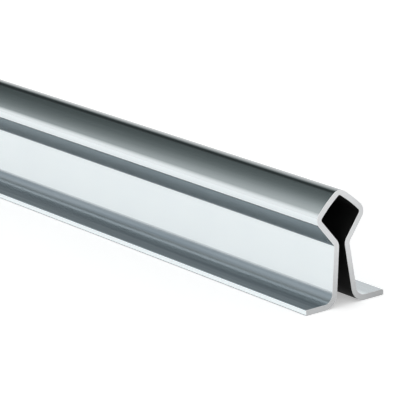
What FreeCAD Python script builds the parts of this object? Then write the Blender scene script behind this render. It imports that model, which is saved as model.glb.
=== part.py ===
import FreeCAD, Part
import math
import os

# Sliding gate track: one strip of steel, roll formed into a ridge-topped rail on two splayed
# legs with flat feet turned outward. Millimetres. X runs along the track, Y across it, Z up;
# the undersides of the feet lie on Z = 0 and the section is the same on both sides of Y = 0,
# apart from the strip's edges: the one at -Y was slit, the one at +Y is the coil's round edge.

# Overall sizes
track_length = 1000.0
track_height = 60.0
foot_span = 48.0

# Strip and section
strip_thickness = 3.0
head_width = 28.5
neck_width = 9.4
ridge_angle = 96.0
undercut_angle = 37.0
leg_angle = 6.5

# Bend radii, on the face towards the hollow (inside) and on the outer face (outside)
ridge_radius_inside = 1.0
ridge_radius_outside = 5.5
shoulder_radius_inside = 1.5
shoulder_radius_outside = 5.5
neck_radius_outside = 3.0
foot_radius_outside = 5.0
slit_edge_radius = 0.4
mill_edge_radius = 0.8


def cross(point_a, slope_a, point_b, slope_b):
    """Meeting point of two lines in the section, each given by a point and a direction."""
    det = slope_a[1] * slope_b[0] - slope_a[0] * slope_b[1]
    gap = (point_b[0] - point_a[0], point_b[1] - point_a[1])
    along = (gap[1] * slope_b[0] - gap[0] * slope_b[1]) / det
    return (point_a[0] + along * slope_a[0], point_a[1] + along * slope_a[1])


def beside(point, slope, distance):
    """A point moved sideways off a line, to the right of its direction."""
    return (point[0] + distance * slope[1], point[1] - distance * slope[0])


# Directions of the four flats of the right half, going from the ridge down to the foot's tip
half_ridge = math.radians(ridge_angle / 2)
undercut = math.radians(undercut_angle)
leg = math.radians(leg_angle)
slopes = [
    (math.sin(half_ridge), -math.cos(half_ridge)),
    (-math.sin(undercut), -math.cos(undercut)),
    (math.sin(leg), -math.cos(leg)),
    (1.0, 0.0),
]

# Outside face of the strip. The ridge's rounded top reaches the full height, and the
# shoulder's bend is set so that its round reaches the full width of the head.
ridge_corner = (0.0, track_height + ridge_radius_outside * (1 / math.sin(half_ridge) - 1))
shoulder_y = head_width / 2 - shoulder_radius_outside
shoulder_z = (ridge_corner[1] - shoulder_radius_outside / math.sin(half_ridge)
              - shoulder_y / math.tan(half_ridge))
undercut_point = beside((shoulder_y, shoulder_z), slopes[1], -shoulder_radius_outside)
shoulder_corner = cross(ridge_corner, slopes[0], undercut_point, slopes[1])
neck_corner = cross(undercut_point, slopes[1], (neck_width / 2, 0.0), (0.0, 1.0))
foot_corner = cross(neck_corner, slopes[2], (0.0, strip_thickness), slopes[3])
outside = [ridge_corner, shoulder_corner, neck_corner, foot_corner]

# Inside face of the strip: the same four flats, one thickness further in
flats = [beside(point, slope, strip_thickness) for point, slope in zip(outside, slopes)]
inside = [cross(flats[0], slopes[0], (0.0, 0.0), (0.0, 1.0))]
for index in range(3):
    inside.append(cross(flats[index], slopes[index], flats[index + 1], slopes[index + 1]))

# The whole outline: over the outside from the left foot to the right one, and back inside
tip = foot_span / 2
outside_radii = [ridge_radius_outside, shoulder_radius_outside, neck_radius_outside,
                 foot_radius_outside]
inside_radii = [ridge_radius_inside, shoulder_radius_inside,
                neck_radius_outside + strip_thickness, foot_radius_outside + strip_thickness]


def both_halves(corners, radii, tip_z):
    """Corners and bend radii of one face of the strip, from the left tip to the right tip."""
    right = list(zip(corners, radii))
    left = [((-y, z), radius) for (y, z), radius in reversed(right[1:])]
    return [((-tip, tip_z), slit_edge_radius)] + left + right + [((tip, tip_z), mill_edge_radius)]


def rounded_face(corners):
    """Flat face in the YZ plane with every corner rounded to its own radius."""
    bends = []
    count = len(corners)
    for index in range(count):
        before = FreeCAD.Vector(0, *corners[index - 1][0])
        here = FreeCAD.Vector(0, *corners[index][0])
        after = FreeCAD.Vector(0, *corners[(index + 1) % count][0])
        radius = corners[index][1]
        back = (before - here).normalize()
        on = (after - here).normalize()
        half_angle = back.getAngle(on) / 2
        start = here + back * (radius / math.tan(half_angle))
        middle = here + (back + on).normalize() * (radius / math.sin(half_angle) - radius)
        end = here + on * (radius / math.tan(half_angle))
        bends.append((start, middle, end))
    edges = []
    for index in range(count):
        edges.append(Part.makeLine(bends[index - 1][2], bends[index][0]))
        edges.append(Part.Arc(*bends[index]).toShape())
    return Part.Face(Part.Wire(edges))


outline = both_halves(outside, outside_radii, strip_thickness)
outline += reversed(both_halves(inside, inside_radii, 0.0))
section = rounded_face(outline)
section.translate(FreeCAD.Vector(-track_length / 2, 0, 0))
track = section.extrude(FreeCAD.Vector(track_length, 0, 0))

os.makedirs("parts", exist_ok=True)
track.exportStep("parts/gate_track.step")
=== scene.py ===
import math

import bpy
from mathutils import Matrix, Vector


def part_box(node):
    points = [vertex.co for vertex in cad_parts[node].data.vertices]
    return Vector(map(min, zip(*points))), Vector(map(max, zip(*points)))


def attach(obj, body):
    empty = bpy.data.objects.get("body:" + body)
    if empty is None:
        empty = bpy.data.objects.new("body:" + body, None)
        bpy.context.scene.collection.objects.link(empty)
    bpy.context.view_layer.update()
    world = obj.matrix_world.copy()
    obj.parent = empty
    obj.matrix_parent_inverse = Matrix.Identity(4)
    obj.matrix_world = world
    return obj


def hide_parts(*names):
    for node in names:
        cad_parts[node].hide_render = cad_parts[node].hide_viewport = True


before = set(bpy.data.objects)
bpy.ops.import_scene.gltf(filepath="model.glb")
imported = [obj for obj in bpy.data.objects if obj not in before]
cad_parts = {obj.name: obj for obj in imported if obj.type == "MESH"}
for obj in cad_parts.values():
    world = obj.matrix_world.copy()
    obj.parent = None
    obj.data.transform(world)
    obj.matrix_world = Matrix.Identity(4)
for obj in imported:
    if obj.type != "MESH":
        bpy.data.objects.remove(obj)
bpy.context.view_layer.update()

# ---------------------------------------------------------------- the track
# One strip of zinc-plated steel, rolled cold through a row of stands into a rounded ridge, a
# hollow head, a neck, two splayed legs and two flat feet, then sawn square to length. It lies
# on its feet, and the grooved wheels of a sliding gate run along the ridge.
MM = 0.001
track_low, track_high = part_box("gate_track")
track_length = track_high.x - track_low.x
track_height = track_high.z - track_low.z
foot_span = track_high.y - track_low.y

strip = 3.0 * MM
head_width = 28.5 * MM
neck_width = 9.4 * MM
half_ridge = math.radians(48.0)
undercut = math.radians(37.0)
leg = math.radians(6.5)
flank_crown = math.radians(10.0)     # the flanks of the ridge bulge a little between their ends

ridge_round = 5.5 * MM
crown_round = 72.0 * MM
ridge_crease = 1.0 * MM
shoulder_round = 5.5 * MM
shoulder_crease = 1.5 * MM
neck_round = 3.0 * MM
foot_round = 5.0 * MM
slit_edge = 0.4 * MM
mill_edge = 0.8 * MM
saw_chamfer = 0.15 * MM
bend_steps = 24
length_steps = 21
crease_angle = math.radians(40)      # sharper turns than this are shaded as edges
cut_angle = math.radians(60)         # only the rims of the sawn ends turn more than this


def meet(point_a, way_a, point_b, way_b):
    """Where two lines of the section cross."""
    det = way_a[1] * way_b[0] - way_a[0] * way_b[1]
    gap_y, gap_z = point_b[0] - point_a[0], point_b[1] - point_a[1]
    along = (gap_z * way_b[0] - gap_y * way_b[1]) / det
    return (point_a[0] + along * way_a[0], point_a[1] + along * way_a[1])


def beside(point, way, distance):
    """A point moved off a line, to the right of the line's direction."""
    return (point[0] + distance * way[1], point[1] - distance * way[0])


def strip_faces():
    """Corners of the right half of the strip's outer face and of its inner one, ridge first."""
    slopes = (half_ridge + flank_crown / 2, half_ridge - flank_crown / 2)
    ways = [(math.sin(slope), -math.cos(slope)) for slope in slopes]
    ways.append((-math.sin(undercut), -math.cos(undercut)))
    ways.append((math.sin(leg), -math.cos(leg)))
    ways.append((1.0, 0.0))
    ridge = (0.0, track_height + ridge_round * (1 / math.sin(slopes[0]) - 1))
    bend_y = head_width / 2 - shoulder_round
    bend_z = (track_height - ridge_round + (ridge_round - shoulder_round) / math.sin(half_ridge)
              - bend_y / math.tan(half_ridge))
    above = beside((bend_y, bend_z), ways[1], -shoulder_round)
    below = beside((bend_y, bend_z), ways[2], -shoulder_round)
    neck = meet(below, ways[2], (neck_width / 2, 0.0), (0.0, 1.0))
    outer = [ridge, meet(ridge, ways[0], above, ways[1]), meet(above, ways[1], below, ways[2]),
             neck, meet(neck, ways[3], (0.0, strip), ways[4])]
    shifted = [beside(point, way, strip) for point, way in zip(outer, ways)]
    inner = [meet(shifted[0], ways[0], (0.0, 0.0), (0.0, 1.0))]
    for one in range(4):
        inner.append(meet(shifted[one], ways[one], shifted[one + 1], ways[one + 1]))
    return outer, inner


def outline():
    """Every corner of the section in order, as (y, z, bend radius, 1 on the hollow side)."""
    outer, inner = strip_faces()
    outer_rounds = (ridge_round, crown_round, shoulder_round, neck_round, foot_round)
    inner_rounds = (ridge_crease, crown_round - strip, shoulder_crease, neck_round + strip,
                    foot_round + strip)
    loop = []
    for corners, rounds, tip_z, hollow in ((outer, outer_rounds, strip, 0.0),
                                           (inner, inner_rounds, 0.0, 1.0)):
        right = [(y, z, radius, hollow) for (y, z), radius in zip(corners, rounds)]
        left = [(-y, z, radius, hollow) for y, z, radius, _ in reversed(right[1:])]
        whole = ([(-foot_span / 2, tip_z, slit_edge, hollow)] + left + right
                 + [(foot_span / 2, tip_z, mill_edge, hollow)])
        loop += reversed(whole) if hollow else whole
    return loop


class Wire:
    """One output of a node. Arithmetic on it adds Math nodes to the tree it belongs to."""

    def __init__(self, tree, socket=None):
        self.tree = tree
        self.socket = socket

    def node(self, kind, settings=None, inputs=None, output=0):
        """Any other node: its settings are set first, then the values or links of its sockets."""
        made = self.tree.nodes.new(kind)
        for name, value in (settings or {}).items():
            if name == "stops":
                while len(made.color_ramp.elements) < len(value):
                    made.color_ramp.elements.new(1.0)
                for stop, (position, shade) in zip(made.color_ramp.elements, value):
                    stop.position = position
                    stop.color = (*shade, 1.0)
            else:
                setattr(made, name, value)
        for name, value in (inputs or {}).items():
            if isinstance(value, Wire):
                self.tree.links.new(value.socket, made.inputs[name])
            else:
                made.inputs[name].default_value = value
        return Wire(self.tree, made.outputs[output])

    def feed(self, node, name):
        """Join this output to a socket of a node that is already there."""
        self.tree.links.new(self.socket, node.inputs[name])

    def maths(self, operation, first, second=0.0):
        return self.node("ShaderNodeMath", {"operation": operation}, {0: first, 1: second})

    def __add__(self, other):
        return self.maths("ADD", self, other)

    def __radd__(self, other):
        return self.maths("ADD", other, self)

    def __sub__(self, other):
        return self.maths("SUBTRACT", self, other)

    def __rsub__(self, other):
        return self.maths("SUBTRACT", other, self)

    def __mul__(self, other):
        return self.maths("MULTIPLY", self, other)

    def __rmul__(self, other):
        return self.maths("MULTIPLY", other, self)

    def __abs__(self):
        return self.maths("ABSOLUTE", self)

    def axis(self, letter):
        """One of the three numbers of a place or a direction."""
        return self.node("ShaderNodeSeparateXYZ", {}, {"Vector": self}, letter)

    def step(self, start, end):
        """0 up to start, 1 from end on, and a smooth rise between them. start may be the larger."""
        return self.node("ShaderNodeMapRange", {"interpolation_type": "SMOOTHSTEP"},
                         {"Value": self, "From Min": start, "From Max": end})

    def noise(self, stretch, detail=2.0):
        """Noise about 0.5, with its own number of grains per metre along X, Y and Z."""
        grains = self.node("ShaderNodeVectorMath", {"operation": "MULTIPLY"}, {0: self, 1: stretch})
        return self.node("ShaderNodeTexNoise", {}, {"Vector": grains, "Scale": 1.0, "Detail": detail})

    def tint(self, colour):
        """A colour made lighter or darker by this number."""
        return self.node("ShaderNodeVectorMath", {"operation": "SCALE"}, {0: colour, "Scale": self})

    def mix(self, colour_a, colour_b):
        """The first colour where this number is 0, the second where it is 1."""
        return self.node("ShaderNodeMix", {"data_type": "RGBA"}, {0: self, 6: colour_a, 7: colour_b}, 2)


def rolling_nodes():
    """The mill: rounds the outline's corners, draws it out to length and closes both ends."""
    tree = bpy.data.node_groups.new("rolling", "GeometryNodeTree")
    for name, kind in (("Outline", "Geometry"), ("Length", "Float"), ("Bend Steps", "Int"),
                       ("Length Steps", "Int"), ("Zinc", "Material"), ("Hollow", "Material"),
                       ("Sawn", "Material")):
        tree.interface.new_socket(name, in_out="INPUT", socket_type="NodeSocket" + kind)
    tree.interface.new_socket("Track", in_out="OUTPUT", socket_type="NodeSocketGeometry")
    given = tree.nodes.new("NodeGroupInput")
    wire = {socket.name: Wire(tree, socket) for socket in given.outputs if socket.name}
    start = Wire(tree)

    radius = start.node("GeometryNodeInputNamedAttribute", {"data_type": "FLOAT"},
                        {"Name": "bend_radius"})
    loop = start.node("GeometryNodeMeshToCurve", {}, {"Mesh": wire["Outline"]})
    rounded = start.node("GeometryNodeFilletCurve", {"mode": "POLY"},
                         {"Curve": loop, "Count": wire["Bend Steps"], "Radius": radius})
    half = wire["Length"] * 0.5
    near = start.node("ShaderNodeCombineXYZ", {}, {"X": half})
    far = start.node("ShaderNodeCombineXYZ", {}, {"X": 0.0 - half})
    line = start.node("GeometryNodeCurvePrimitiveLine", {}, {"Start": far, "End": near})
    path = start.node("GeometryNodeResampleCurve", {"mode": "COUNT"},
                      {"Curve": line, "Count": wire["Length Steps"]})
    drawn = start.node("GeometryNodeCurveToMesh", {},
                       {"Curve": path, "Profile Curve": rounded, "Fill Caps": True})

    along = abs(start.node("GeometryNodeInputNormal").axis("X"))
    sawn = start.node("FunctionNodeCompare", {"operation": "GREATER_THAN"}, {"A": along, "B": 0.5})
    side = start.node("GeometryNodeInputNamedAttribute", {"data_type": "FLOAT"},
                      {"Name": "hollow_side"})
    hollow = start.node("FunctionNodeCompare", {"operation": "GREATER_THAN"}, {"A": side, "B": 0.75})
    faced = start.node("GeometryNodeSetMaterial", {}, {"Geometry": drawn, "Material": wire["Zinc"]})
    for where, finish in ((hollow, "Hollow"), (sawn, "Sawn")):
        faced = start.node("GeometryNodeSetMaterial", {},
                           {"Geometry": faced, "Selection": where, "Material": wire[finish]})
    whole = start.node("GeometryNodeRealizeInstances", {}, {"Geometry": faced})
    result = tree.nodes.new("NodeGroupOutput")
    whole.feed(result, "Track")
    return tree


def new_material(name):
    """A new material, its Principled node, and its tree's Object coordinates as a starting wire."""
    material = bpy.data.materials.new(name)
    material.use_nodes = True
    body = material.node_tree.nodes["Principled BSDF"]
    place = Wire(material.node_tree).node("ShaderNodeTexCoord", output="Object")
    return material, body, place


# The outer face: bright zinc, smooth from the rolls, which leave faint lines along the whole
# length. Painted shade greys it in the bend of each foot and darkens it more on the foot itself,
# mostly on the -Y side; painted shade dims the crest of the ridge to about half as bright, and a
# painted highlight makes the strip's edges brighter.
bend_top = strip + foot_round * (1 - math.sin(leg))
tip = foot_span / 2


def zinc_plate():
    material, body, place = new_material("zinc_plate")
    aside, height = place.axis("Y"), place.axis("Z")
    outward = abs(aside)
    lines = place.noise((5.0, 1600.0, 1600.0), 3.0)
    streaks = place.noise((6.0, 420.0, 420.0))
    cloud = place.noise((45.0, 45.0, 45.0))

    # Both painted shades are full on the -Y side and keep 0.35 of their strength on the +Y side.
    side = 1.0 - aside.step(-6.0 * MM, 6.0 * MM) * 0.65
    # The grey painted shade in the bend starts at the foot's top face, thickens a little higher,
    # and fades out where the leg begins.
    low_part, high_part = 0.76, 0.24
    bend = (height.step(strip - 0.5 * MM, strip + 0.3 * MM) * low_part
            + height.step(strip + 1.2 * MM, strip + 2.0 * MM) * high_part)
    bend = side * bend * (1.0 - height.step(bend_top - 0.7 * MM, bend_top + 1.9 * MM))
    # The darker painted shade lies on the flat of the foot, stronger away from the bend, and stops
    # short of the strip's edge.
    flat_start, flat_full = 11.5 * MM, 16.0 * MM
    flat = 1.0 - height.step(strip, strip + 0.3 * MM)
    flat = side * flat * (1.0 - outward.step(tip - 0.5 * MM, tip - 0.2 * MM))
    foot_shade = flat * (0.10 + outward.step(flat_start, flat_full) * 0.80 + (streaks - 0.5) * 0.5)
    # Painted highlight on the strip's edges, applied below at 0.12.
    edge = outward.step(tip - 0.4 * MM, tip - 0.1 * MM)
    # Painted shade on the crest of the ridge, applied below at 0.48.
    crest = height.step(track_height - 1.6 * MM, track_height - 0.8 * MM)

    # bend_grey and foot_grey are the colours of the painted shade in the bend and on the foot.
    clean, bend_grey, foot_grey = (0.94, 1.00, 1.02), (0.30, 0.37, 0.42), (0.13, 0.17, 0.20)
    tone = 0.82 + (lines - 0.5) * 0.05 + (cloud - 0.5) * 0.04
    tone = tone * (1.0 - crest * 0.48 + edge * 0.12)
    colour = (bend * (0.90 + (streaks - 0.5) * 0.5)).mix(tone.tint(clean), tone.tint(bend_grey))
    foot_shade.mix(colour, tone.tint(foot_grey)).feed(body, "Base Color")
    (0.15 + (lines - 0.5) * 0.05 + bend * 0.26).feed(body, "Roughness")
    relief = place.node("ShaderNodeBump", {},
                        {"Height": lines, "Strength": 0.06, "Distance": 0.02 * MM})
    relief.feed(body, "Normal")
    body.inputs["Metallic"].default_value = 1.0
    return material


# The hollow side is painted near black, painted shade for the dark inside of the head and
# between the legs, a little paler in the head than below the neck, dull and faintly mottled.
# Under the feet the painted shade stops and grey zinc shows.
def hollow_painted_shade():
    material, body, place = new_material("hollow_painted_shade")
    height = place.axis("Z")
    mottle = place.noise((140.0, 500.0, 500.0), 3.0)
    bare_full, bare_end = 0.15 * MM, 0.6 * MM
    neck_below, neck_above = 26.0 * MM, 36.0 * MM
    grey_zinc = (0.34, 0.36, 0.37, 1.0)
    # Grey zinc on the underside of the feet; elsewhere painted shade, near black and a little paler in
    # the head.
    bare_underside = (1.0 - height.step(bare_full, bare_end)) * (0.75 + (mottle - 0.5) * 0.8)
    painted_dark = 0.004 + height.step(neck_below, neck_above) * 0.007 + (mottle - 0.5) * 0.003
    bare_underside.mix(painted_dark.tint((1.0, 1.0, 1.0)), grey_zinc).feed(body, "Base Color")
    bare_underside.feed(body, "Metallic")
    (0.62 + (mottle - 0.5) * 0.2 - bare_underside * 0.2).feed(body, "Roughness")
    body.inputs["Specular IOR Level"].default_value = 0.15
    return material


# The sawn ends: bare steel with fine marks from the saw's teeth, a painted highlight round the
# rim on the chamfer, and painted shade that darkens the face low down and towards +Y.
def sawn_steel():
    material, body, place = new_material("sawn_steel")
    along, aside, height = abs(place.axis("X")), place.axis("Y"), place.axis("Z")
    marks = place.noise((1.0, 90.0, 2600.0))
    rim_out, rim_in = track_length / 2 - 0.1 * saw_chamfer, track_length / 2 - 0.8 * saw_chamfer
    shade_top = 36.0 * MM
    fade_start, fade_end = 2.0 * MM, 20.0 * MM
    # Painted shade: darker low down and towards +Y.
    tone = 0.57 + height.step(0.0, shade_top) * 0.22 - aside.step(fade_start, fade_end) * 0.13
    # A painted highlight on the rim's chamfer, with the saw marks.
    tone = tone + (marks - 0.5) * 0.08 + along.step(rim_out, rim_in) * 0.22
    tone.tint((1.0, 1.01, 1.02)).feed(body, "Base Color")
    (0.5 + (marks - 0.5) * 0.2).feed(body, "Roughness")
    relief = place.node("ShaderNodeBump", {},
                        {"Height": marks, "Strength": 0.25, "Distance": 0.05 * MM})
    relief.feed(body, "Normal")
    return material


# Rolling starts from the outline's corners, laid flat and turned half round, because a section
# that is drawn out along X gets turned so, and in the order that makes the faces point outwards.
corners = outline()[::-1]
section = bpy.data.meshes.new("section")
section.from_pydata([(-y, -z, 0.0) for y, z, _, _ in corners],
                    [(one, (one + 1) % len(corners)) for one in range(len(corners))], [])
for name, column in (("bend_radius", 2), ("hollow_side", 3)):
    values = section.attributes.new(name, "FLOAT", "POINT").data
    values.foreach_set("value", [corner[column] for corner in corners])
blank = bpy.data.objects.new("blank", section)
bpy.context.scene.collection.objects.link(blank)

rolling = blank.modifiers.new("rolling", "NODES")
rolling.node_group = rolling_nodes()
inputs = {item.name: item.identifier for item in rolling.node_group.interface.items_tree
          if item.in_out == "INPUT"}
for name, value in (("Length", track_length), ("Bend Steps", bend_steps),
                    ("Length Steps", length_steps),
                    ("Zinc", zinc_plate()), ("Hollow", hollow_painted_shade()), ("Sawn", sawn_steel())):
    rolling[inputs[name]] = value
evaluated = blank.evaluated_get(bpy.context.evaluated_depsgraph_get())
track_mesh = bpy.data.meshes.new_from_object(evaluated)
track_mesh.name = "gate_track"
bpy.data.objects.remove(blank)
track_mesh.shade_smooth()
track_mesh.set_sharp_from_angle(angle=crease_angle)
track = bpy.data.objects.new("rolled_track", track_mesh)
bpy.context.scene.collection.objects.link(track)
chamfer = track.modifiers.new("saw_chamfer", "BEVEL")
chamfer.width = saw_chamfer
chamfer.segments = 1
chamfer.material = list(track_mesh.materials).index(bpy.data.materials["sawn_steel"])
chamfer.limit_method = "ANGLE"
chamfer.angle_limit = cut_angle
chamfer.use_clamp_overlap = False
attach(track, "root")
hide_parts("gate_track")

# ---------------------------------------------------------------- the floor
# A plain pale floor, wide enough to fill the view. It is seen, and mirrored in the metal, as
# pure white, and still takes the track's soft shadow.
FLOOR_REACH = 30.0
FLOOR_GLOW = 0.39
floor_mesh = bpy.data.meshes.new("floor")
floor_mesh.from_pydata([(x, y, 0.0) for x, y in ((-1, -1), (1, -1), (1, 1), (-1, 1))], [],
                       [(0, 1, 2, 3)])
floor_mesh.transform(Matrix.Scale(FLOOR_REACH, 4))
floor = bpy.data.objects.new("floor", floor_mesh)
bpy.context.scene.collection.objects.link(floor)


def seen_rays(start):
    """1 for what the camera sees straight, in metal or through glass, and 0 for spread light."""
    rays = start.node("ShaderNodeLightPath", output="Is Camera Ray")
    path = rays.socket.node
    glossy = Wire(start.tree, path.outputs["Is Glossy Ray"])
    clear = Wire(start.tree, path.outputs["Is Transmission Ray"])
    return rays.maths("MAXIMUM", rays, glossy.maths("MAXIMUM", glossy, clear))


pale_floor, floor_body, _ = new_material("pale_floor")
floor_body.inputs["Base Color"].default_value = (0.9, 0.9, 0.9, 1.0)
floor_body.inputs["Roughness"].default_value = 1.0
floor_body.inputs["Specular IOR Level"].default_value = 0.0
floor_body.inputs["Emission Color"].default_value = (1.0, 1.0, 1.0, 1.0)
(seen_rays(Wire(pale_floor.node_tree)) * FLOOR_GLOW).feed(floor_body, "Emission Strength")
floor_mesh.materials.append(pale_floor)

# ---------------------------------------------------------------- the room light
# A studio with pale walls that darken evenly towards the top, under a soft pale ceiling, and a
# soft lamp beyond the +X end for the sawn face. The walls are graded by the angle about the
# track's length, so that each flat of the track shows one even band from end to end; low down
# they stay white.
world = bpy.data.worlds.new("room")
bpy.context.scene.world = world
world.use_nodes = True
sky = Wire(world.node_tree)
way = sky.node("ShaderNodeTexCoord", output="Generated")
along, rise = way.axis("X"), way.axis("Z")
white, ceiling_grey = (1.0, 1.0, 1.0, 1.0), (0.86, 0.86, 0.86, 1.0)
lamp_gain = 0.5
shade_lift = 0.09       # of a quarter turn: about 8 degrees

# The angle is 0 at floor level and 1 overhead. Beyond the -X end the shades stand at the
# degrees given here, and everywhere else they stand higher by the lift.
upward = sky.maths("ARCTAN2", rise, abs(way.axis("Y"))) * (2 / math.pi)
upward = upward - along.step(-0.855, -0.775) * shade_lift
wall_shades = [(10, (1.0, 1.0, 1.0)), (25, (0.92, 0.93, 0.93)), (41, (0.73, 0.74, 0.74)),
               (50, (0.58, 0.60, 0.60)), (57, (0.39, 0.42, 0.42)), (60.5, (0.225, 0.25, 0.25)),
               (64, (0.13, 0.15, 0.15)), (70, (0.085, 0.102, 0.102)), (77, (0.054, 0.066, 0.066)),
               (90, (0.042, 0.052, 0.052))]
wall = sky.node("ShaderNodeValToRGB", {"stops": [(turn / 90, shade) for turn, shade in wall_shades]},
                {"Fac": upward})
ceiling = rise.step(0.74, 0.90)
low_wall = rise.step(0.35, 0.15)
end_wall = along.step(0.72, 0.92)
background = world.node_tree.nodes["Background"]
plain = sky.maths("MAXIMUM", low_wall, end_wall)
shade = ceiling.mix(plain.mix(wall, white), ceiling_grey)
shade.feed(background, "Color")
(1.0 + end_wall * lamp_gain).feed(background, "Strength")

# ---------------------------------------------------------------- the camera
# A long lens at one end of the track, a little above it, looking back along its -Y side, so
# that the sawn end faces the view and the rest runs out of it on the left.
AZIMUTH = math.radians(57.0)
ELEVATION = math.radians(16.1)
ROLL = math.radians(-3.84)
DISTANCE = 1.5076
LENS = 273.4
AIM_LEFT = 0.0706
AIM_UP = 0.0238
back = Vector((math.sin(AZIMUTH) * math.cos(ELEVATION), -math.cos(AZIMUTH) * math.cos(ELEVATION),
               math.sin(ELEVATION)))
level_right = Vector((math.cos(AZIMUTH), math.sin(AZIMUTH), 0.0))
level_up = back.cross(level_right)
right = level_right * math.cos(ROLL) + level_up * math.sin(ROLL)
up = level_up * math.cos(ROLL) - level_right * math.sin(ROLL)
near_end = Vector((track_high.x, 0.0, track_height / 2))
camera_data = bpy.data.cameras.new("camera")
camera_data.lens = LENS
camera_data.clip_start = 0.05
camera_data.clip_end = 100.0
camera = bpy.data.objects.new("camera", camera_data)
stand = near_end - right * AIM_LEFT + up * AIM_UP + back * DISTANCE
camera.matrix_world = Matrix.Translation(stand) @ Matrix((right, up, back)).transposed().to_4x4()
bpy.context.scene.collection.objects.link(camera)
bpy.context.scene.camera = camera
bpy.context.scene.view_settings.view_transform = "Standard"
